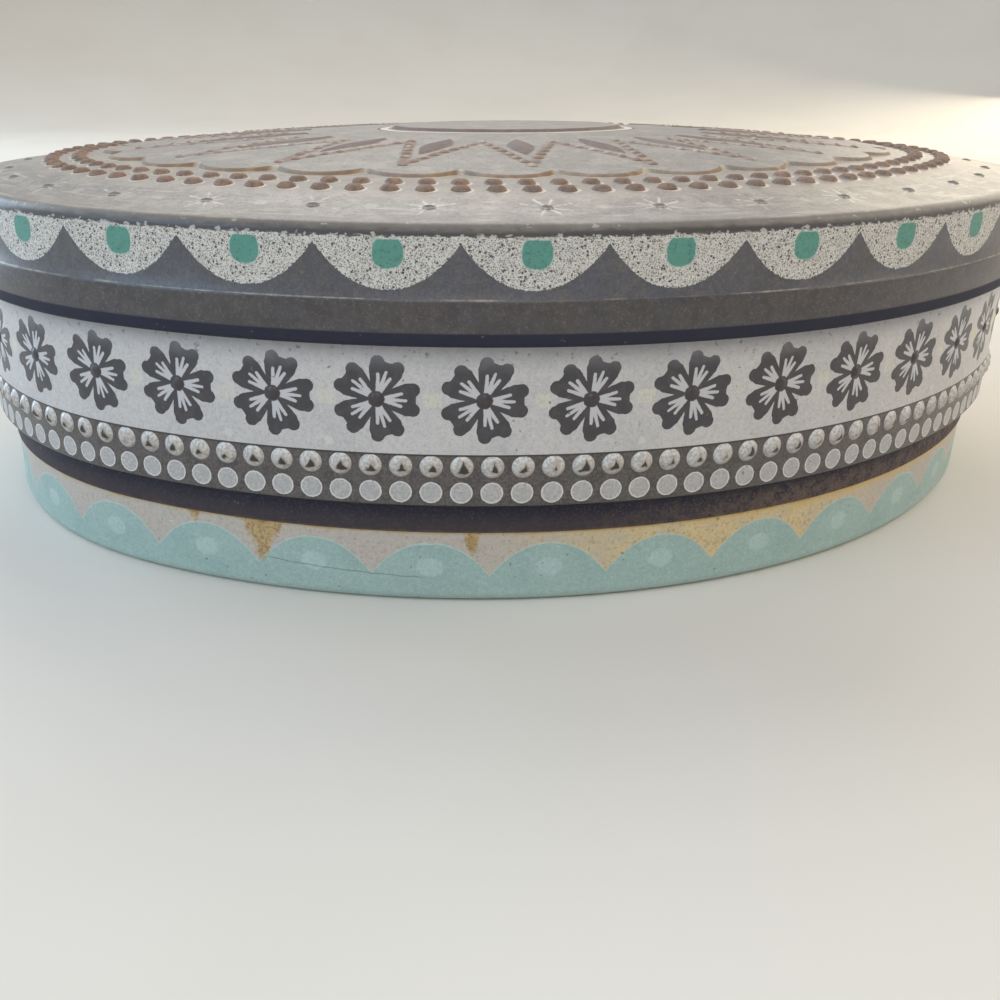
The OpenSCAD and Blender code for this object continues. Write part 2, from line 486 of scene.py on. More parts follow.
def make_foot_print():
    """Mint where the height is below an arch curve, paler at the bottom as a painted highlight,
    sand above it, then rust and scratches.
    """
    foot = Finish("foot_print", (179, 173, 164), coat=0.2)
    length = oval_length(PAN_OUT)
    grain = foot.noise(0.7)
    clouds = foot.noise(9)
    patches = foot.noise(4)
    foot.over(grain.between(0.46, 0.62) * 0.6, (190, 165, 153))
    foot.over(foot.noise(1.0).between(0.55, 0.68) * 0.5, (154, 143, 130))
    across = foot.cell(ARCHES, ARCH_AT, length)
    arch = ARCH_TOP - (abs(across) / (length / ARCHES / 2)) ** BOW * ARCH_DROP
    under = arch - foot.along + (grain - 0.5) * 0.3
    mint = (under - 0.4).inside(0.15)
    foot.over(under.inside(0.15), (176, 190, 183))
    foot.over(mint, (150, 177, 172))
    foot.over(mint * clouds.between(0.42, 0.72) * 0.5, (134, 163, 161))
    foot.over(mint * foot.noise(2.5).between(0.5, 0.7) * 0.4, (160, 184, 181))
    # The paler mint towards the bottom edge is a painted highlight.
    foot.over(mint * foot.along.between(5, 1) * 0.35, (168, 192, 188))
    spot = SPOT_R - distance(across * 0.75, foot.along - SPOT_Z) + (grain - 0.5) * 0.7
    foot.over(spot.inside(0.35) * 0.75, (170, 194, 192))
    foot.grit(0.26, (128, 142, 138), (192, 204, 200))
    pale = foot.streaks(length, 9, 1.1).between(0.68, 0.72) * clouds.between(0.45, 0.6)
    foot.over(pale * 0.55, (200, 213, 210))
    share = foot.cell(1, SCRATCH_FROM[0], length) / (SCRATCH_TO[0] - SCRATCH_FROM[0])
    drop = foot.along - SCRATCH_FROM[1] - (share ** 0.7) * (SCRATCH_TO[1] - SCRATCH_FROM[1])
    drop = drop + (patches - 0.5) * 0.9
    scratch = (0.13 - abs(drop)).least(share.least(1 - share) * 3) + (grain - 0.5) * 0.15
    foot.over(scratch.inside(0.08) * 0.6, (96, 104, 100))
    line = foot.along - FOOT_TOP + 0.8 + (patches - 0.5) * 1.8
    rusty = foot.stretch(RUST_AT, length, -140, -20, 90, 240)
    seep = line + rusty * (clouds * 1.6 + 0.6)
    wash = foot.stretch(WASH_AT, length, -45, 5, 35, 80) * (0.2 - under).inside(0.3)
    foot.over(wash * (patches.between(0.3, 0.6) * 0.4 + 0.35), (210, 190, 138))
    foot.over(wash * grain.between(0.46, 0.6) * 0.5, (188, 162, 106))
    foot.over(wash * foot.noise(1.0).between(0.54, 0.66) * 0.5, (152, 124, 82))
    foot.over(seep.between(-0.8, 1.6) * (rusty * 0.35 + 0.45), (196, 166, 102))
    foot.over((line - 0.2).between(-0.3, 0.4) * (rusty * 0.4 + 0.35), (184, 148, 70))
    foot.over((line - 0.6).between(-0.2, 0.5) * 0.6, (142, 110, 62))
    for place, half, low in STAINS:
        hang = (foot.along - low) / (FOOT_TOP - low)
        ragged = (patches - 0.5) * 3.6 + (grain - 0.5)
        spread = hang * half - abs(foot.cell(1, place, length)) + ragged
        stain = spread.between(-0.5, 0.9) * hang.between(-0.1, 0.3)
        foot.over(stain * 0.75, (180, 150, 84))
        foot.over(stain * patches.between(0.45, 0.6) * 0.5, (146, 118, 62))
        foot.over(stain * grain.between(0.48, 0.6) * 0.6, (126, 92, 62))
    chips = 0.1 - foot.along + (foot.noise(2.2) - 0.5) * 4.0
    foot.over(chips.inside(0.15) * 0.6, (110, 108, 102))
    foot.over(foot.noise(1.6).between(0.72, 0.74) * 0.6, (96, 88, 80))
    return foot.close(0.36 + clouds * 0.2 + chips.inside(0.2) * 0.15, grain, 0.05)


FOOT_PRINT = make_foot_print()
print("made", FOOT_PRINT.name)

# %% [markdown]
# ## The base pan
# A drawn pan: floor, rounded edge, upright foot and a small flange that hooks on the
# wall's step. One surface with a Solidify modifier would look alike, but a profile that
# runs out along the underside, up the foot, over the flange and back inside gives each
# face its own finish. Two flat faces close it at the floor.

# %% Pan
SHEET, SEAM_GAP = 0.4, 0.05
FOOT_R = 3.0
FLOOR_BAND = 30
PAN_COLUMNS, PAN_PRINTED = 480, 13
STEP_Z, STEP_IN, STEP_DROP = 25.6, 3.36, 1.6
NECK_OUT = -STEP_IN
NECK_TOP = STEP_Z - STEP_DROP
FLANGE_Z = NECK_TOP + SHEET + SEAM_GAP
FLANGE_W = 2.6


def make_pan():
    """Profile of the pan, from the underside round to the floor inside."""
    edge = (PAN_OUT - FOOT_R, FOOT_R)
    flange_end = FLANGE_Z + STEP_DROP / STEP_IN * FLANGE_W
    profile = np.concatenate([
        [[PAN_OUT - FLOOR_BAND, 0.0]],
        arc(edge, FOOT_R, -90, 0, 10),
        [[PAN_OUT, 10], [PAN_OUT, FOOT_TOP], [PAN_OUT, FLANGE_Z],
         [PAN_OUT + FLANGE_W, flange_end], [PAN_OUT + FLANGE_W, flange_end + SHEET],
         [PAN_OUT - SHEET, FLANGE_Z + SHEET]],
        arc(edge, FOOT_R - SHEET, 0, -90, 8),
        [[PAN_OUT - FLOOR_BAND, SHEET]]])
    turn, shares = even_turns(PAN_COLUMNS, PAN_OUT)
    finish = np.where(np.arange(len(profile) - 1) < PAN_PRINTED, 0, 1)
    finish[0] = 1
    sheet = Sheet()
    sheet.add_grid(carry(turn[:-1], profile), shares, profile[:, 1], finish)
    sheet.build("pan_sheet", [FOOT_PRINT, BARE_TIN], "box", "base_pan")


make_pan()

# %% [markdown]
# ## The wall's print
# Three printed bands: a dark set-back neck, made darker still by painted shade and a
# painted dark reflection, a brown band with a row of flat discs under a row of pressed
# domes, and a silver band with dark flowers. One mask for each petal would make nearly
# two hundred. Instead the wall is folded into one flower's width, and the angle round its
# middle into one fifth, so one petal is drawn and shows everywhere: a heart of two circles
# joined to a wedge, with three pale strokes.

# %% Flowers
WALL_LENGTH = oval_length(0)
FLOWERS, FLOWER_AT, FLOWER_Z = 38, 1.64, 49.0
LOBE_FORWARD, LOBE_ASIDE, LOBE_R = 7.55, 2.15, 1.45
PETALS, PETAL_HALF, NOTCH_FORWARD = 5, 3.5, 8.15
STROKES = ((-19, 5.6), (-2, 6.4), (17, 5.7))
STROKE_ROOT = 1.0
MIDDLE_R = 1.5
FADED_Z = 39.3


def flower_masks(wall):
    """Heart petals, their strokes and the centre, from the folded angle and the radius; then
    the faded square and the faded spot between two flowers."""
    x = wall.cell(FLOWERS, FLOWER_AT, WALL_LENGTH)
    y = wall.along - FLOWER_Z
    radius = distance(x, y)
    angle = y.math("ARCTAN2", x)
    fold = angle * (PETALS / (2 * math.pi)) + 0.5
    fold = (fold.math("FRACT") - 0.5) * (2 * math.pi / PETALS)
    axial = radius * fold.math("COSINE")
    aside = abs(radius * fold.math("SINE"))
    lobes = LOBE_R - distance(axial - LOBE_FORWARD, aside - LOBE_ASIDE)
    wedge = (axial * 0.42 + 1.0).least(PETAL_HALF) - aside
    end = (LOBE_ASIDE - aside).most(LOBE_FORWARD - axial)
    notch = (NOTCH_FORWARD + aside * aside * 0.14 - axial).least(end)
    petals = lobes.most(wedge.least(notch))
    strokes = None
    for degrees, reach in STROKES:
        lean = math.radians(degrees)
        turned = fold - lean
        forward = radius * turned.math("COSINE") - STROKE_ROOT * math.cos(lean)
        sideways = radius * turned.math("SINE") + STROKE_ROOT * math.sin(lean)
        half = 0.5 - forward * 0.04
        stroke = half - distance(sideways, (forward - reach + STROKE_ROOT + 0.3).most(0.0))
        stroke = stroke.least(forward - 0.8)
        strokes = stroke if strokes is None else strokes.most(stroke)
    halfway = wall.cell(FLOWERS, FLOWER_AT + WALL_LENGTH / FLOWERS / 2 + 0.75, WALL_LENGTH)
    square = 1.7 - abs(halfway).most(abs(y) * 1.1)
    spot = 0.9 - distance(halfway, wall.along - FADED_Z)
    return petals, strokes, MIDDLE_R - radius, square, spot


print(FLOWERS, "flowers, %.1f mm apart" % (WALL_LENGTH / FLOWERS))

# %% Wall finish
DOMES, DOME_AT, DOME_Z, DISC_Z = 131, -1.96, 34.5, 28.6
DOME_R, DISC_R = 2.42, 2.4
BAND_TOP, NECK_Z, SHADE_AND_DIRT_Z = 37.1, 25.3, 54.0
YELLOW_AT, NECK_RUST_AT = 135, 60


def make_wall_print():
    """Bands by height, then discs, domes and flowers, then wear, with painted shade on the neck and
    under the lid and a painted dark reflection on each dome.
    """
    wall = Finish("wall_print", (190, 188, 187), coat=0.2)
    grain = wall.noise(0.6)
    clouds = wall.noise(14)
    fine = wall.noise(2.5)
    wall.over(clouds.between(0.4, 0.7) * 0.5, (176, 175, 177))
    wall.over(fine.between(0.55, 0.75) * 0.35, (200, 197, 193))
    petals, strokes, middle, square, spot = flower_masks(wall)
    rough_edge = (grain - 0.5) * 0.4
    faded = clouds.between(0.3, 0.6) * 0.55
    yellow = wall.stretch(YELLOW_AT, WALL_LENGTH, -50, -10, 10, 50)
    patch = (square + (fine - 0.5) * 2.0).inside(0.25)
    wall.over(patch * faded, (208, 203, 182))
    wall.over(patch * yellow * 0.8, (212, 206, 118))
    wall.over((spot + (fine - 0.5) * 1.5).inside(0.2) * faded, (208, 206, 198))
    petal = (petals + rough_edge * 0.5).inside()
    wall.grit(0.4, (154, 151, 150), (206, 204, 202))
    wall.over(petal, (58, 56, 61))
    wall.over(petal * fine.between(0.45, 0.65) * 0.5, (78, 73, 75))
    wall.over(petal * grain.between(0.5, 0.66) * 0.4, (50, 48, 52))
    wall.over((strokes + rough_edge * 0.6).inside(0.1), (188, 187, 190))
    wall.over(middle.inside(), (58, 51, 54))
    band = (BAND_TOP - wall.along).inside(0.08)
    wall.over(band, (80, 75, 74))
    wall.over(band * fine.between(0.42, 0.62) * 0.7, (60, 56, 56))
    wall.over(band * grain.between(0.46, 0.62) * 0.6, (104, 97, 92))
    across = wall.cell(DOMES, DOME_AT, WALL_LENGTH)
    disc = DISC_R - distance(across, wall.along - DISC_Z) + rough_edge * 0.6
    wall.over(disc.inside(), (208, 206, 203))
    inner = (disc - 0.3).inside(0.15)
    wall.over(inner, (180, 179, 179))
    wall.over(inner * grain.between(0.42, 0.6) * 0.6, (146, 143, 140))
    wall.over(inner * fine.between(0.4, 0.62) * 0.5, (166, 165, 166))
    up = wall.along - DOME_Z
    reach = distance(across, up)
    dome = (DOME_R - reach).inside()
    wall.over(dome, (206, 204, 201))
    wall.over(dome * (2.0 - reach + (fine - 0.5) * 1.0).between(0, 1.0) * 0.8, (182, 177, 170))
    wall.over(dome * grain.between(0.44, 0.6) * 0.55, (140, 133, 126))
    shade = (reach - 1.9 + (fine - 0.5)).inside(0.4) * (0.5 - up).between(-1, 2)
    wall.over(dome * shade * 0.5, (120, 112, 106))
    # A dark triangle below each dome's apex, with a brownish edge, is a painted dark reflection.
    painted_dark_mark = ((0.75 - up) * 0.52 - abs(across - 0.3)).least(up + 0.9)
    painted_dark_mark = painted_dark_mark + (fine - 0.5) * 1.5 + (wall.noise(5) - 0.5) * 1.2
    wall.over(dome * (painted_dark_mark + 0.3).inside(0.3) * 0.5, (134, 116, 102))
    wall.over(dome * painted_dark_mark.inside(0.15), (50, 45, 45))
    wall.over((0.2 - abs(BAND_TOP - 0.1 - wall.along)).inside(0.08), (52, 47, 46))
    # The neck's dark navy is painted shade and a painted dark reflection in the set-back band;
    # lower down it eases to a brownish grey.
    neck = NECK_Z - wall.along
    on_neck = neck.inside(0.1)
    wall.over(on_neck, (26, 27, 47))
    lower = neck.between(1.5, 6.5) * (fine * 0.6 + 0.5)
    wall.over(lower, (58, 50, 54))
    wall.over(on_neck * grain.between(0.48, 0.64) * 0.4, (70, 62, 62))
    rust = wall.stretch(NECK_RUST_AT, WALL_LENGTH, -90, -20, 50, 120) * neck.between(0.8, 5.0)
    wall.over(rust * fine.between(0.4, 0.6) * 0.7, (92, 77, 70))
    wall.over(rust * grain.between(0.48, 0.62) * 0.5, (112, 94, 84))
    line = neck - 7.0 + (fine - 0.5) * 1.2
    wall.over(line.between(-0.1, 0.6) * 0.4, (110, 92, 66))
    specks = wall.noise(1.3)
    wall.over(specks.between(0.7, 0.73) * 0.75, (104, 94, 86))
    under_lid = wall.along - SHADE_AND_DIRT_Z
    # Under the lid's hem a bluish grey band is painted shade, with dark specks of dirt in it.
    shade_and_dirt = under_lid.between(0, 6.5) * under_lid.between(15, 8)
    wall.over(shade_and_dirt * (fine * 0.5 + 0.35), (140, 141, 149))
    wall.over(shade_and_dirt * specks.between(0.62, 0.68) * 0.7, (100, 94, 94))
    smudge = (under_lid - 6.0 + (wall.noise(5) - 0.6) * 12).between(0.6, 2.6)
    wall.over(smudge * under_lid.between(14, 8) * 0.5, (116, 102, 98))
    rubbed = wall.streaks(WALL_LENGTH, 1.2, 14).between(0.6, 0.7) * under_lid.between(6, 9)
    wall.over(rubbed * 0.5, (160, 157, 154))
    rough = 0.3 + clouds * 0.18 + petal * 0.06 + line.between(-0.3, 1.0) * 0.3
    return wall.close(rough, grain + fine, 0.05, on_neck * 0.8)


WALL_PRINT = make_wall_print()
print("made", WALL_PRINT.name)

# %% [markdown]
# ## The wall
# A strip bent round the oval, stepped in near the bottom so that the pan's foot shows
# under it, and curled inwards at the top. The profile is a closed loop of sheet. Bump
# could stand for the domes and the middles of the flowers from the front, but at the
# tin's two ends they stand out from its edge, so they are caps on the outer face.

# %% Wall
RIM_R, RIM_TOP = 1.2, 84.4
STEP_BEND = 0.9
COLUMNS, WALL_PRINTED = 720, 11
DOME_CAP = (DOME_R, 1.25, 1.6)
FLOWER_CAP = (1.45, 0.5, 2.0)


def wall_caps(sheet, count, start, height, size):
    """Caps round the wall at one height, facing straight out."""
    share = spaced(count, start, 0)
    turn = direction(share, 0)
    x, y = oval_point(turn, np.zeros(count))
    add_caps(sheet, flat(x, y, height), flat(-np.sin(turn), np.cos(turn), 0),
             flat(np.zeros(count), 0, 1), flat(np.cos(turn), np.sin(turn), 0),
             np.stack([share, np.full(count, height)], axis=1), 1 / WALL_LENGTH, 0, size)


def make_wall():
    """Profile from the lower edge up the outside, round the curl and down the inside."""
    rim = (-RIM_R, RIM_TOP - RIM_R)
    outside = np.concatenate([
        [[NECK_OUT, FOOT_TOP], [NECK_OUT, 21], [NECK_OUT, NECK_TOP - 0.4],
         [NECK_OUT + 0.3, NECK_TOP + 0.1]],
        arc((-STEP_BEND, STEP_Z + STEP_BEND * 0.62), STEP_BEND, -64, 0, 5),
        [[0, 37], [0, 80]],
        arc(rim, RIM_R, 0, 270, 14)])
    inside = np.concatenate([
        arc(rim, RIM_R - SHEET, 270, 0, 12),
        [[-SHEET, 60], [-SHEET, STEP_Z + SHEET],
         [NECK_OUT - SHEET, NECK_TOP + SHEET], [NECK_OUT - SHEET, FOOT_TOP]]])
    profile = np.concatenate([outside, inside])
    finish = np.where(np.arange(len(profile)) < WALL_PRINTED, 0, 1)
    finish[-1] = 0
    turn, shares = even_turns(COLUMNS, 0)
    sheet = Sheet()
    sheet.add_grid(carry(turn[:-1], profile), shares, profile[:, 1], finish, loop=True)
    wall_caps(sheet, DOMES, DOME_AT, DOME_Z, DOME_CAP)
    wall_caps(sheet, FLOWERS, FLOWER_AT, FLOWER_Z, FLOWER_CAP)
    sheet.build("wall_sheet", [WALL_PRINT, BARE_TIN], "box", "body_wall")


make_wall()

# %% [markdown]
# ## The lid's skirt print
# Under the rounded edge hang pale stippled scallops with a green dot in each, on a dark
# slate ground; below the small ridge, which carries a painted highlight, the band is a
# mottled olive grey and the curled edge is painted nearly black as shade and a dark
# reflection. A painted shadow line runs just under the rounded edge. A scallop is the area
# above a curve, as the arches were below one. Noise would give clouds instead of dots, so
# the stipple is the distance from scattered points, in three sizes together.

# %% Skirt finish
SKIRT_OUT, BAND_OUT, RIDGE_Z = 2.9, 0.4, 70.2
SCALLOPS, SCALLOP_AT = 30, -6.0
SCALLOP_LOW, SCALLOP_RISE, SCALLOP_TOP = 72.3, 8.9, 82.5
DOT_Z, DOT_R, DOT_TOP, DOT_POWER = 79.4, 3.0, 81.9, 2.5
HEM_TOP, SHADOW_LINE_Z, CHIP_Z = 63.8, 83.1, 82.7


def make_skirt_print():
    """Scallops by a curve in height, a dot in each, then the ridge's painted highlight, the band,
    the hem's painted shade and wear, with a painted shadow line under the edge.
    """
    skirt = Finish("skirt_print", (82, 81, 85), coat=0.15)
    grain = skirt.noise(0.6)
    clouds = skirt.noise(16)
    fine = skirt.noise(3)
    skirt.over(skirt.noise(7).between(0.42, 0.62) * 0.6, (78, 81, 93))
    skirt.over(fine.between(0.45, 0.65) * 0.6, (94, 90, 87))
    skirt.over(clouds.between(0.45, 0.75) * 0.5, (70, 67, 68))
    length = oval_length(SKIRT_OUT)
    across = skirt.cell(SCALLOPS, SCALLOP_AT, length)
    half = length / SCALLOPS / 2
    low_edge = (abs(across) / half) ** BOW * SCALLOP_RISE + SCALLOP_LOW
    hang = skirt.along - low_edge + (grain - 0.5) * 0.9
    top_edge = SCALLOP_TOP - skirt.along + (skirt.noise(1.6) - 0.5) * 1.6
    pale = hang.least(top_edge).inside(0.08)
    skirt.over(pale, (207, 204, 197))
    skirt.over(pale * fine.between(0.45, 0.75) * 0.5, (192, 188, 180))
    stipple = (0.3 - skirt.specks(0.5)).most(0.3 - skirt.specks(0.31))
    skirt.over(pale * stipple.inside(0.07) * 0.85, (70, 66, 68))
    skirt.over(pale * (0.23 - skirt.specks(1.15)).inside(0.05) * 0.9, (46, 43, 46))
    powers = abs(across - 0.3) ** DOT_POWER + abs(skirt.along - DOT_Z) ** DOT_POWER
    dot = (DOT_R - powers ** (1 / DOT_POWER)).least(DOT_TOP - skirt.along) + (grain - 0.5) * 0.4
    skirt.over((dot + 0.3).inside(0.15) * 0.5, (176, 194, 184))
    green = dot.inside(0.15)
    skirt.over(green, (78, 141, 127))
    skirt.over(green * fine.between(0.45, 0.7) * 0.45, (86, 150, 133))
    band = (RIDGE_Z + 0.1 - skirt.along).inside(0.08)
    skirt.over(band, (72, 67, 66))
    skirt.over(band * skirt.noise(6).between(0.45, 0.6) * 0.6, (62, 62, 70))
    skirt.over(band * fine.between(0.46, 0.64) * 0.6, (58, 53, 51))
    # A thin pale line along the ridge is a painted highlight.
    ridge = 0.12 - abs(skirt.along - RIDGE_Z - 0.2) + (fine - 0.55) * 0.6
    skirt.over(ridge.inside(0.1) * clouds.between(0.42, 0.6) * 0.6, (176, 168, 150))
    skirt.grit(0.4, (62, 60, 62), (106, 103, 103))
    # The curled hem is painted nearly black navy as shade and a dark reflection.
    hem = (HEM_TOP - skirt.along).inside(0.25)
    skirt.over(hem, (27, 29, 48))
    skirt.over(hem * fine.between(0.5, 0.7) * 0.4, (40, 38, 48))
    # A darker line just under the rounded edge is a painted shadow line.
    painted_dark_mark = 0.5 - abs(skirt.along - SHADOW_LINE_Z) + (fine - 0.5) * 1.0
    skirt.over(painted_dark_mark.inside(0.2) * 0.75, (66, 60, 58))
    chips = 0.3 - abs(skirt.along - CHIP_Z) + (skirt.noise(1.4) - 0.62) * 4.0
    skirt.over(chips.inside(0.2) * 0.7, (192, 189, 184))
    skirt.over(skirt.noise(1.5).between(0.72, 0.745) * 0.5, (118, 110, 100))
    rough = 0.32 + clouds * 0.16 + pale * 0.12
    return skirt.close(rough, grain + pale * 0.8, 0.05, hem * 0.8)


SKIRT_PRINT = make_skirt_print()
print("made", SKIRT_PRINT.name)

# %% [markdown]
# ## The lid's top print
# The top is a warmer grey than the skirt, and worn; its ground is painted lighter than
# the skirt's slate, partly as a painted reflection of a bright room on the gloss. Its outer
# field has small star flowers of pale strokes round a pressed middle; the ring beside it
# has two rows of bosses that handling has rubbed brown, with painted highlight crescents
# at their feet. One finish could sort all this by masks, but five short ones are easier to
# read. They start from one ground, so a function lays the shared ground and wear first.

# %% Ground of the top


def start_top(name):
    """Warm grey ground, lightened partly as a painted reflection, with clouds, rubbed patches, pale
    specks and grit.
    """
    # The light warm grey ground is partly a painted reflection of a bright room on the gloss.
    top = Finish(name, (146, 140, 134), coat=0.2, coat_rough=0.3)
    clouds = top.noise(26)
    fine = top.noise(3.2)
    top.over(clouds.between(0.42, 0.72) * 0.6, (158, 151, 143))
    top.over(fine.between(0.45, 0.7) * 0.5, (130, 125, 122))
    top.over(top.noise(6).between(0.5, 0.66) * 0.5, (174, 166, 155))
    top.over(top.noise(8, 6.0).between(0.5, 0.6) * 0.45, (180, 173, 164))
    top.over(top.noise(2.4, 4.0).between(0.56, 0.66) * 0.45, (120, 114, 111))
    top.over(top.noise(1.4).between(0.68, 0.72) * 0.6, (196, 188, 176))
    top.grit(0.45, (120, 115, 112), (182, 177, 171))
    return top, clouds, fine


# %% Field finish
FIELD_OUT = -10.0
STARS, STAR_AT, STAR_IN, STAR_ARMS = 33, -4.5, 10.0, 8


def make_field_print():
    """Strokes round each pressed middle, a pale smudge between flowers and a darker edge."""
    top, clouds, fine = start_top("field_print")
    length = oval_length(FIELD_OUT)
    across = top.cell(STARS, STAR_AT, length)
    inward = top.along - STAR_IN
    radius = distance(across, inward)
    angle = inward.math("ARCTAN2", across) * (STAR_ARMS / (2 * math.pi))
    fold = (angle.math("FRACT") - 0.5) * (2 * math.pi / STAR_ARMS)
    stroke = (0.3 - radius * 0.04 - abs(radius * fold)).least((radius - 1.4).least(5.6 - radius))
    faded = clouds.between(0.38, 0.6) * 0.65 + 0.1
    ragged = (fine - 0.5) * 1.6 + (top.noise(0.9) - 0.5) * 1.4
    wisps = top.streaks(length, 13, 1.8).between(0.56, 0.68)
    top.over(wisps * 0.5, (200, 194, 185))
    top.over((stroke + ragged).inside(0.25) * faded, (220, 214, 206))
    pressed = (1.3 - radius + ragged * 0.3).inside(0.3)
    top.over(pressed * 0.8, (104, 97, 93))
    halfway = length / STARS / 2 - abs(across)
    smudge = 2.2 - distance(halfway, inward) + (fine - 0.5) * 5.0
    top.over(smudge.between(0.2, 1.6) * 0.4, (204, 199, 192))
    # Darker towards the rounded edge.
    edge = -0.5 - top.along + (fine - 0.5) * 0.8
    top.over(edge.between(-0.6, 2.0) * 0.85, (108, 102, 95))
    top.over(edge.between(1.7, 2.4), (64, 59, 57))
    scuff = (0.5 - abs(edge - 1.2)).least((top.noise(2.5) - 0.64) * 8)
    top.over(scuff.inside(0.2) * 0.7, (190, 184, 174))
    return top.close(0.4 + clouds * 0.16, fine, 0.1, pressed * 0.7)


FIELD_PRINT = make_field_print()
print("made", FIELD_PRINT.name)

# %% Ring finish
RING_OUT = -20.5
RING_BOSSES, RING_AT = 95, 2.7
RING_ROWS = (21.0, 28.0)


def make_ring_print():
    """Brown on the bosses, a painted highlight crescent on one side of each foot."""
    top, clouds, fine = start_top("ring_print")
    length = oval_length(RING_OUT)
    across = top.cell(RING_BOSSES, RING_AT, length)
    rows = [top.along - place for place in RING_ROWS]
    near = distance(across, rows[0]).least(distance(across, rows[1]))
    shifted = distance(across - 0.4, rows[0] + 0.4).least(distance(across - 0.4, rows[1] + 0.4))
    # The pale crescent, offset to one side of each boss's foot, is a painted highlight.
    crescent = (2.4 - shifted).least(near - 2.1) + (fine - 0.5) * 0.9
    top.over(fine.between(0.3, 0.6) * 0.4, (182, 170, 158))
    top.over(crescent.inside(0.25) * 0.85, (222, 214, 202))
    boss = (2.15 - near + (fine - 0.5) * 0.4).inside(0.2)
    top.over(boss, (146, 121, 107))
    top.over(boss * clouds.between(0.4, 0.65) * 0.7, (126, 108, 94))
    top.over(boss * fine.between(0.5, 0.64) * 0.5, (166, 134, 108))
    top.over(boss * top.noise(1.2).between(0.46, 0.62) * 0.6, (110, 91, 82))
    return top.close(0.42 + clouds * 0.14, fine, 0.1, boss * 0.7)


RING_PRINT = make_ring_print()
print("made", RING_PRINT.name)

# %% Panel and bead finishes


def make_panel_print():
    """Told by the piece's relief: brown bead rows below zero, dark leaves above it, which
    also paint the raised middle's side dark as painted shade, and a painted highlight ring
    at the middle's foot where it is highest."""
    top, clouds, fine = start_top("panel_print")
    high = top.relief()
    line = (0 - high + (fine - 0.5) * 0.7).between(0.25, 0.75)
    # The leaf mask also covers the raised middle's side, painted dark there as shade.
    leaf = (high + (fine - 0.5) * 0.5).between(0.05, 0.5)
    dark = line.most(leaf)
    top.over(line * 0.5, (146, 118, 104))
    top.over(leaf * (clouds.between(0.3, 0.6) * 0.3 + 0.6), (116, 100, 96))
    top.over(leaf * top.noise(1.6).between(0.48, 0.62) * 0.4, (148, 128, 118))
    # A painted highlight ring at the raised middle's foot.
    top.over((high - 1.3 + (fine - 0.5) * 0.8).inside(0.25), (222, 214, 200))
    return top.close(0.42 + clouds * 0.15, fine, 0.1, dark * 0.7)


def make_bead_print():
    """Rubbed brown beads of the pressed star, paler where handled."""
    top, clouds, fine = start_top("bead_print")
    top.over(clouds.between(0.3, 0.6) * 0.6 + 0.4, (140, 116, 102))
    top.over(fine.between(0.5, 0.64) * 0.5, (188, 172, 156))
    return top.close(0.34 + clouds * 0.14, fine, 0.05, fine.between(0.6, 0.4) * 0.4)


PANEL_PRINT = make_panel_print()
BEAD_PRINT = make_bead_print()
print("made", PANEL_PRINT.name, "and", BEAD_PRINT.name)

# %% Step finish
LOBES, LOBE_AT, LOBE_OUT = 28, -4.6, -33.0


def make_step_print():
    """Step round the panel: brown, deepened by painted shade along the right of each lobe, with
    painted highlights at the cusps and foot.
    """
    top, clouds, fine = start_top("step_print")
    half = oval_length(LOBE_OUT) / LOBES / 2
    across = top.cell(LOBES, LOBE_AT, 2 * half * LOBES)
    # The step is brown, and painted shade deepens it towards the right of each lobe.
    top.over(across.between(-half, half * 0.6) * 0.6 + 0.3, (138, 112, 90))
    top.over(fine.between(0.45, 0.7) * 0.4, (176, 152, 112))
    # A pale line along the foot of the step is a painted highlight.
    foot = 0.12 - top.along + (fine - 0.5) * 0.3
    top.over(foot.inside(0.08) * 0.8, (216, 205, 184))
    # Pale patches at the cusps are painted highlights.
    cusp = abs(across) - half + 0.8 + (fine - 0.5) * 2.0
    top.over(cusp.inside(0.8) * 0.6, (222, 212, 194))
    return top.close(0.5 + clouds * 0.15, fine, 0.06, fine.between(0.7, 0.4) * 0.7)


STEP_PRINT = make_step_print()
print("made", STEP_PRINT.name)

# %% [markdown]
# ## The lid
# Skirt and top could be two pieces, but the real lid is one drawn sheet without a seam, so
# one loop carries four finishes. The profile goes from the ring's inner edge under the
# panel, down the inside, round the curled hem, up the skirt over the small ridge, round
# the edge and in across the field and ring. The crown was measured at a few distances
# in, and a smooth curve is drawn through them.

# %% Crown
CROWN_IN = np.array([-0.5, 4.0, 10.0, 14.5, 18.0, 20.5, 27.5, 34.0, 42.0])
CROWN_Z = np.array([85.0, 85.35, 86.25, 87.25, 88.05, 88.4, 88.95, 89.35, 89.6])


def crown(inset):
    """Height of the top at a distance in: measured points joined, then softened by averaging."""
    spread = np.linspace(-1.5, 1.5, 13)
    return np.interp(np.asarray(inset)[..., None] + spread, CROWN_IN, CROWN_Z).mean(axis=-1)


print("crown rises %.1f mm" % (CROWN_Z[-1] - CROWN_Z[0]))

# %% Lid sheet
LID_Z, HEM_R = 60.8, 1.3
SHOULDER_Z, SHOULDER_R, PRINT_TURN = 82.6, 2.4, 24
EDGE_OUT = SKIRT_OUT - SHOULDER_R
FIELD_START, RING_START, RING_END = 0.5, 15.0, 42.0
RING_CAP, STAR_CAP = (2.1, 0.95, 6.0), (1.5, 0.5, 2.0)


def top_caps(sheet, count, start, inset, measured_out, size, finish):
    """Caps on the top at one distance in, standing straight up."""
    share = spaced(count, start, measured_out)
    turn = direction(share, measured_out)
    x, y = oval_point(turn, np.full(count, -inset))
    add_caps(sheet, flat(x, y, crown(np.full(count, inset))),
             flat(-np.sin(turn), np.cos(turn), 0), flat(-np.cos(turn), -np.sin(turn), 0),
             flat(np.zeros(count), 0, 1), np.stack([share, np.full(count, inset)], axis=1),
             1 / oval_length(-inset), finish, size)


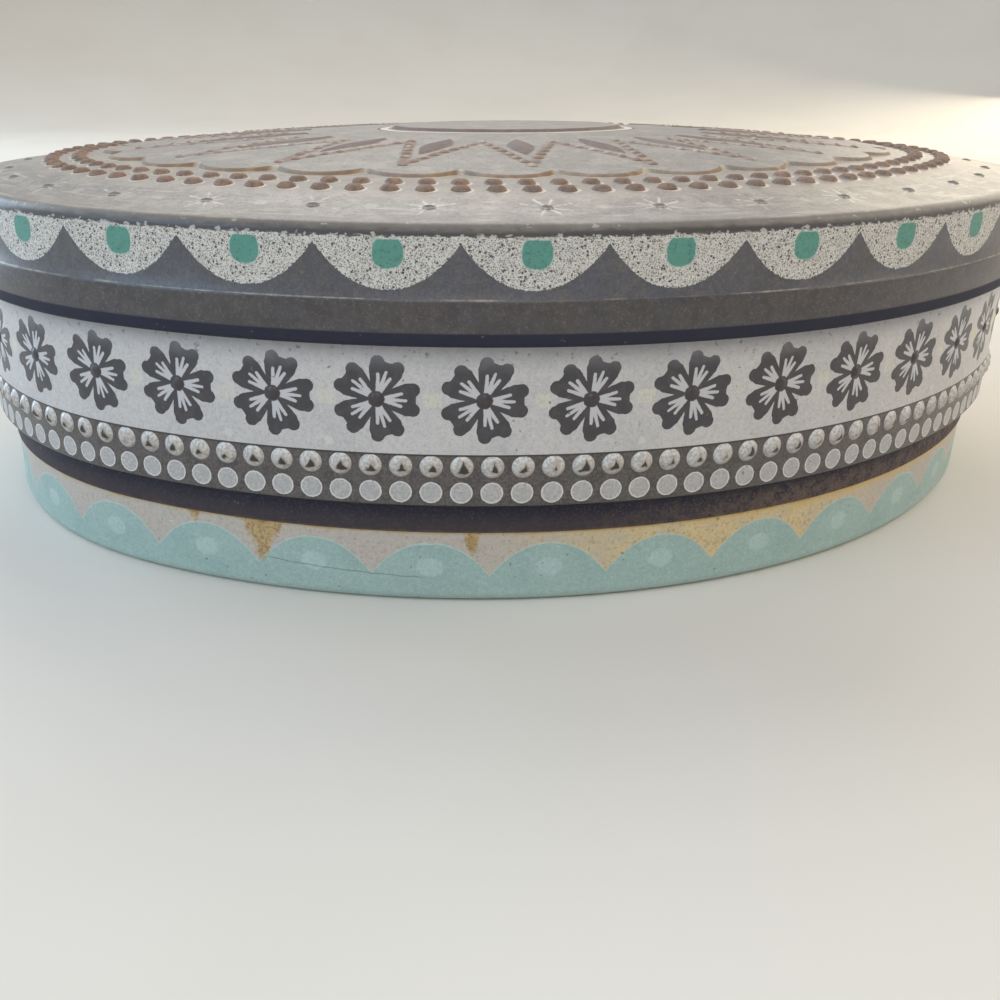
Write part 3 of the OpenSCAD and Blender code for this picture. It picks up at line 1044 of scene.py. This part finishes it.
def make_lid():
    """Lid profile in four strips that share their edges, one a finish, closed into one loop."""
    band = SKIRT_OUT + BAND_OUT
    hem = (band - HEM_R, LID_Z + HEM_R)
    shoulder = (EDGE_OUT, SHOULDER_Z)
    field_in = np.linspace(FIELD_START, RING_START, 16)
    ring_in = np.linspace(RING_START, RING_END, 24)
    under_in = np.linspace(RING_END, FIELD_START, 16)
    inside = np.concatenate([
        np.stack([-under_in, crown(under_in) - SHEET], axis=1),
        arc(shoulder, SHOULDER_R - SHEET, 90, 0, 6),
        [[SKIRT_OUT - SHEET, RIDGE_Z + BAND_OUT], [band - SHEET, RIDGE_Z]],
        arc(hem, HEM_R - SHEET, 0, -270, 12)])
    skirt = np.concatenate([
        arc(hem, HEM_R, -270, 0, 16),
        [[band, RIDGE_Z - 0.4], [band - 0.1, RIDGE_Z], [SKIRT_OUT, RIDGE_Z + BAND_OUT],
         [SKIRT_OUT, 76]],
        arc(shoulder, SHOULDER_R, 0, PRINT_TURN, 3)])
    field = np.concatenate([
        arc(shoulder, SHOULDER_R, PRINT_TURN, 90, 8),
        np.stack([-field_in, crown(field_in)], axis=1)])
    ring = np.stack([-ring_in, crown(ring_in)], axis=1)
    profile = np.concatenate([inside, skirt, field, ring])
    keep = np.append(True, np.linalg.norm(np.diff(profile, axis=0), axis=1) > 1e-6)
    owner = np.repeat([0, 1, 2, 3], [len(inside), len(skirt), len(field), len(ring)])
    profile, owner = profile[keep], owner[keep]
    turn = even_turns(COLUMNS, SKIRT_OUT)[0]
    points = carry(turn[:-1], profile)
    faces = grid_faces(len(profile), COLUMNS, True).reshape(len(profile), COLUMNS, 4)
    finish = np.append(owner[1:], 0)
    sheet = Sheet()
    looped = np.append(profile, profile[:1], axis=0)
    for number, out in enumerate((SKIRT_OUT, SKIRT_OUT, FIELD_OUT, RING_OUT)):
        rows = np.flatnonzero(finish == number)
        around = share_at(turn, out)
        along = np.stack([looped[rows], looped[rows + 1]], axis=1)
        along = along[..., 1] if number < 2 else -along[..., 0]
        uv = np.stack([grid_uv(around, pair)[0] for pair in along])
        strip = faces[rows].reshape(-1, 4)
        if number == 0:
            sheet.add(points, strip, number, uv)
        else:
            sheet.add_faces(strip, number, uv)
    for inset in RING_ROWS:
        top_caps(sheet, RING_BOSSES, RING_AT, inset, RING_OUT, RING_CAP, 3)
    top_caps(sheet, STARS, STAR_AT, STAR_IN, FIELD_OUT, STAR_CAP, 2)
    sheet.build("lid_sheet", [BARE_TIN, SKIRT_PRINT, FIELD_PRINT, RING_PRINT],
                "lid", "lid_shell")


make_lid()

# %% [markdown]
# ## The raised panel and its star
# The middle of the lid is a panel with a lobed outline, pressed up by about a millimetre
# and domed by five more. On it lies a star: rows of beads zigzag between nineteen tips
# and the valleys between them, with a pressed leaf inside every ray, round a flat oval
# middle. A square grid would be ragged at the lobes, so the grid's rows follow them: they
# go from the lobed outline to a plain oval and then shrink towards the middle.

# %% Star layout
RAYS, RAY_AT, TIP_OUT = 19, 10.6, -44.0
VALLEY = np.array([0.62, 0.58])
PANEL_Z, PANEL_RISE = 90.4, 5.0
PANEL_HALF = (112.0, 79.0)
OVAL_IN = 62.0
MIDDLE_FOOT, MIDDLE_TOP, MIDDLE_Z = 0.405, 0.375, 95.9
LINE_HALF = 2.6
LEAF_START, LEAF_SPAN, LEAF_HALF = 0.38, 0.72, 4.0


def ray_points():
    """Tips evenly round one oval, and valleys halfway between them, drawn in to the middle."""
    share = spaced(RAYS, RAY_AT, TIP_OUT)
    half = (share + 0.5 / RAYS) % 1.0
    tips = np.stack(oval_point(direction(share, TIP_OUT), np.full(RAYS, TIP_OUT)), axis=1)
    valleys = np.stack(oval_point(direction(half, TIP_OUT), np.full(RAYS, TIP_OUT)), axis=1)
    return tips, valleys * VALLEY


def ray_edges():
    """Both edges of every ray, as points from the tips to the neighbouring valleys."""
    tips, valleys = ray_points()
    return np.concatenate([tips, tips]), np.concatenate([valleys, np.roll(valleys, 1, axis=0)])


def leaf_relief(x, y):
    """Height share of the leaves: one minus the square of the distance from each ray's axis
    over a half width that swells and tapers along it."""
    tips, valleys = ray_points()
    root = (valleys + np.roll(valleys, 1, axis=0)) / 2
    axis = root - tips
    length = np.linalg.norm(axis, axis=1)
    axis = axis / length[:, None]
    from_tip = np.stack([x, y], axis=-1)[..., None, :] - tips
    along = (from_tip * axis).sum(axis=-1) / length
    aside = from_tip[..., 0] * axis[:, 1] - from_tip[..., 1] * axis[:, 0]
    share = np.clip((along - LEAF_START) / LEAF_SPAN, 0, 1)
    half = LEAF_HALF * np.sin(math.pi * share) ** 0.8 + 1e-6
    return np.clip(1 - (aside / half) ** 2, 0, 1).max(axis=-1)


def line_relief(x, y):
    """Share of the bead rows: one minus the distance from a ray's edge over a half width."""
    starts, stops = ray_edges()
    along = stops - starts
    length = np.linalg.norm(along, axis=1)
    offset = np.stack([x, y], axis=-1)[..., None, :] - starts
    share = np.clip((offset * along).sum(axis=-1) / length ** 2, 0, 1)
    gap = np.linalg.norm(offset - share[..., None] * along, axis=-1).min(axis=-1)
    return np.clip(1 - gap / LINE_HALF, 0, 1)


def panel_height(x, y):
    """Dome of the panel: its rise times one minus the square of the way out to the edge."""
    return PANEL_Z + PANEL_RISE * (1 - (x / PANEL_HALF[0]) ** 2 - (y / PANEL_HALF[1]) ** 2)


print("edges of a ray %.1f mm at most" % np.linalg.norm(np.subtract(*ray_edges()), axis=1).max())

# %% Panel
LEAF_RISE = 0.45
EDGE_IN = np.array([-0.6, -0.25, 0.0, 0.25, 0.6, 1.0])
EDGE_RISE = np.array([-0.25, 0.0, 0.25, 0.6, 0.88, 1.0])
PLAIN_ROWS = 22
SHRINK = np.concatenate([np.linspace(1, 0.43, 34)[1:], np.linspace(0.42, 0.35, 15),
                         [0.25, 0.14, 0.03]])
LOBE_IN, LOBE_DEPTH = 34.0, 5.5
BRIGHT_WIDTH, BRIGHT_MARK = 0.03, 2.0
BELOW_STEP = 6


def panel_rows(turn):
    """Plan points of the rows: lobed edge, easing to a plain oval, then shrunk to the middle."""
    place = share_at(turn, LOBE_OUT) - LOBE_AT / oval_length(LOBE_OUT)
    across = np.abs((place * LOBES + 0.5) % 1.0 - 0.5) * 2
    lobed = LOBE_IN + LOBE_DEPTH * across ** BOW
    ease = np.linspace(0, 1, PLAIN_ROWS)[:, None] ** 0.8
    inset = np.concatenate([lobed + EDGE_IN[:, None],
                            (lobed + 1.4) * (1 - ease) + OVAL_IN * ease])
    x, y = oval_point(turn[None, :], -inset)
    x = np.concatenate([x, x[-1:] * SHRINK[:, None]])
    y = np.concatenate([y, y[-1:] * SHRINK[:, None]])
    return x, y, inset


def middle_share():
    """Share of the flat middle in every row: 0 outside its foot, a smooth step, 1 inside."""
    step = np.clip((MIDDLE_FOOT - SHRINK) / (MIDDLE_FOOT - MIDDLE_TOP), 0, 1)
    step = step * step * (3 - 2 * step)
    return np.concatenate([np.zeros(len(EDGE_IN) + PLAIN_ROWS), step])[:, None]


def make_panel():
    """Top rows from the foot over the rounded step to the middle, then a plain sheet below."""
    turn, shares = even_turns(COLUMNS, LOBE_OUT)
    x, y, inset = panel_rows(turn[:-1])
    leaf = leaf_relief(x, y)
    flat_part = middle_share()
    plain = panel_height(x, y) * (1 - flat_part) + MIDDLE_Z * flat_part
    foot = crown(inset[:len(EDGE_IN)])
    blend = EDGE_RISE[:, None]
    plain[:len(EDGE_IN)] = foot * (1 - blend) + plain[:len(EDGE_IN)] * blend
    top = np.stack([x, y, plain + LEAF_RISE * leaf * (1 - flat_part)], axis=-1)
    skip = np.r_[1:len(EDGE_IN), len(EDGE_IN):len(x):BELOW_STEP, len(x) - 1]
    below = np.stack([x, y, plain - SHEET], axis=-1)[skip]
    points = np.concatenate([below[::-1], top])
    rows = len(points)
    finish = np.zeros(rows - 1, int)
    finish[:len(below)] = 2
    finish[len(below):len(below) + len(EDGE_IN) - 1] = 1
    # Rows just outside the raised middle's foot get a mark that the finish paints as a bright
    # highlight ring.
    bright = (SHRINK > MIDDLE_FOOT) & (SHRINK < MIDDLE_FOOT + BRIGHT_WIDTH)
    # The raised middle's slope gets the leaves' mark, so the finish paints it dark as shade.
    side = np.sin(math.pi * flat_part) + 0 * leaf
    side[-len(SHRINK):] += BRIGHT_MARK * bright[:, None]
    marks = np.maximum(leaf, side) - line_relief(x, y)
    relief = np.concatenate([np.zeros((len(below), COLUMNS)), marks])
    along = np.ones(rows)
    along[len(below):len(below) + len(EDGE_IN)] = EDGE_RISE
    sheet = Sheet()
    sheet.add_grid(points, shares, along, finish, relief=relief)
    sheet.build("lid_panel", [PANEL_PRINT, STEP_PRINT, BARE_TIN],
                "lid", "lid_shell")


make_panel()

# %% [markdown]
# ## The beads of the star
# The beads are pressed as the bosses are, but stand in straight rows on the dome. They
# could be part of the panel's grid, if it were much finer; caps of their own are rounder
# with fewer faces. Where two rows meet, a bead that would run into another is left out.

# %% Star beads
BEAD_R, BEAD_H, BEAD_STEP = 1.4, 0.55, 4.6
LEAST_GAP = 1.7 * BEAD_R


def make_beads():
    """Beads evenly along each line from a tip to a valley, on the panel's own height."""
    starts, stops = ray_edges()
    line = stops - starts
    length = np.linalg.norm(line, axis=1)
    parts = np.round(length / BEAD_STEP)
    which, step = np.nonzero(np.arange(parts.max() + 1)[None, :] <= parts[:, None])
    places = starts[which] + line[which] * (step / parts[which])[:, None]
    gaps = np.linalg.norm(places[:, None] - places[None], axis=-1)
    earlier = np.tril(gaps < LEAST_GAP, -1).any(axis=1)
    places = places[~earlier]
    x, y = places.T
    z = panel_height(x, y)
    many = len(places)
    sheet = Sheet()
    add_caps(sheet, flat(x, y, z), flat(np.ones(many), 0, 0), flat(np.zeros(many), 1, 0),
             flat(np.zeros(many), 0, 1), np.zeros((many, 2)), 1.0, 0, (BEAD_R, BEAD_H, 2.0))
    print("beads", many, "highest", round(float(z.max() + BEAD_H), 2))
    sheet.build("lid_beads", [BEAD_PRINT], "lid", "lid_shell")


make_beads()

# %% [markdown]
# ## Floor
# The tin stands on a pale round sweep, as in a studio: flat round the tin and curved up
# far from it. A flat plane would be simpler, but its far edge would cut the picture.

# %% Floor
HUB_R, FLAT_R, SWEEP_R, SWEEP_END = 0.002, 1.6, 0.9, 80
FLAT_ROWS, SWEEP_ROWS, FLOOR_SPOKES = 12, 24, 96


def make_floor_paint():
    """Warm pale matt paint with the faintest clouds."""
    paint = Finish("floor_paint", (226, 222, 214))
    clouds = paint.noise(160)
    paint.over(clouds.between(0.4, 0.7) * 0.5, (220, 215, 206))
    return paint.close(0.7 + clouds * 0.1, paint.noise(4), 0.02)


def make_floor():
    """A profile turned about the middle: flat, then nearly a quarter circle up."""
    bend = np.radians(np.linspace(0, SWEEP_END, SWEEP_ROWS))
    level = np.linspace(HUB_R, FLAT_R, FLAT_ROWS)
    radius = np.concatenate([level, FLAT_R + SWEEP_R * np.sin(bend)])
    height = np.concatenate([0 * level, SWEEP_R * (1 - np.cos(bend))])
    spoke = np.arange(FLOOR_SPOKES) / FLOOR_SPOKES * 2 * math.pi
    points = flat(radius[:, None] * np.cos(spoke), radius[:, None] * np.sin(spoke), height[:, None])
    faces = grid_faces(len(radius), FLOOR_SPOKES, False)[:, ::-1].tolist()
    faces.append(list(range(FLOOR_SPOKES)))
    mesh = bpy.data.meshes.new("floor")
    mesh.from_pydata(points.reshape(-1, 3).tolist(), [], faces)
    mesh.uv_layers.new(name="print")
    mesh.polygons.foreach_set("use_smooth", np.ones(len(faces), bool))
    mesh.materials.append(make_floor_paint())
    floor = bpy.data.objects.new("floor", mesh)
    bpy.context.scene.collection.objects.link(floor)
    print("floor", len(faces), "faces")


make_floor()

# %% [markdown]
# ## Light
# Six large soft lights and a pale world stand for a bright room, cool on the left and
# warm on the right. Small lamps would throw hard shadows and burn spots into the gloss,
# so every light is a wide disc that faces the tin.

# %% Light
AIM = (0, 0, 0.05)
LIGHTS = (("window", (-1.5, -0.5, 0.9), 1.2, 12.0, (0.5, 0.74, 1.0)),
          ("front", (-0.3, -1.4, 1.3), 1.4, 10.0, (1.0, 0.94, 0.87)),
          ("room", (1.4, -0.5, 1.0), 1.4, 9.0, (1.0, 0.9, 0.76)),
          ("sky", (-1.2, 1.1, 0.5), 1.1, 15.0, (0.62, 0.81, 1.0)),
          ("lamp", (1.5, 0.9, 0.5), 1.2, 10.0, (1.0, 0.87, 0.66)),
          ("ceiling", (0.2, 1.2, 1.4), 1.5, 12.0, (1.0, 0.95, 0.87)))
WORLD_COLOUR, WORLD_STRENGTH = (0.86, 0.86, 0.88, 1), 0.35


def placed(right, up, back, place):
    """Matrix whose columns are an object's three axes and its place."""
    axes = np.eye(4)
    axes[:3] = np.stack([right, up, back, place], axis=1)
    return Matrix(axes.tolist())


def soft_light(name, place, size, power, colour):
    """A large area light at a place, turned to face the tin."""
    lamp = bpy.data.lights.new(name, "AREA")
    lamp.shape = "DISK"
    lamp.size = size
    lamp.energy = power
    lamp.color = colour
    light = bpy.data.objects.new(name, lamp)
    back = np.subtract(place, AIM)
    back = back / np.linalg.norm(back)
    right = np.cross([0, 0, 1], back)
    right = right / np.linalg.norm(right)
    light.matrix_world = placed(right, np.cross(back, right), back, place)
    bpy.context.scene.collection.objects.link(light)


for row in LIGHTS:
    soft_light(*row)
world = bpy.data.worlds.new("pale_room")
world.use_nodes = True
glow = world.node_tree.nodes["Background"]
glow.inputs["Color"].default_value = WORLD_COLOUR
glow.inputs["Strength"].default_value = WORLD_STRENGTH
bpy.context.scene.world = world
bpy.context.scene.view_settings.view_transform = "Standard"
print(len(LIGHTS), "soft lights and a pale world")

# %% [markdown]
# ## Camera
# The camera stands where the photograph was taken, a little above the lid and close. The
# picture is cropped, so its middle is not where the lens pointed. Turning the camera
# would change how the upright lines lean, so the lens is shifted instead.

# %% Camera
YAW, PITCH, ROLL = 0.251, 0.375, 0.005
CAMERA_AT = np.array([-105.46, -299.48, 113.91]) * MM
SENSOR, FOCAL, SHIFT_X, SHIFT_Y = 36.0, 36.67, 0.0876, -0.0407


def make_camera():
    """Axes from yaw, pitch and a slight roll; focal length and shift from the picture."""
    ahead = np.array([math.sin(YAW) * math.cos(PITCH), math.cos(YAW) * math.cos(PITCH),
                      -math.sin(PITCH)])
    right = np.array([math.cos(YAW), -math.sin(YAW), 0.0])
    up = np.cross(right, ahead)
    lens = bpy.data.cameras.new("camera")
    lens.sensor_width = SENSOR
    lens.lens = FOCAL
    lens.shift_x = SHIFT_X
    lens.shift_y = SHIFT_Y
    lens.clip_start = 0.01
    camera = bpy.data.objects.new("camera", lens)
    camera.matrix_world = placed(math.cos(ROLL) * right + math.sin(ROLL) * up,
                                 math.cos(ROLL) * up - math.sin(ROLL) * right, -ahead, CAMERA_AT)
    bpy.context.scene.collection.objects.link(camera)
    bpy.context.scene.camera = camera


make_camera()
print("camera set")
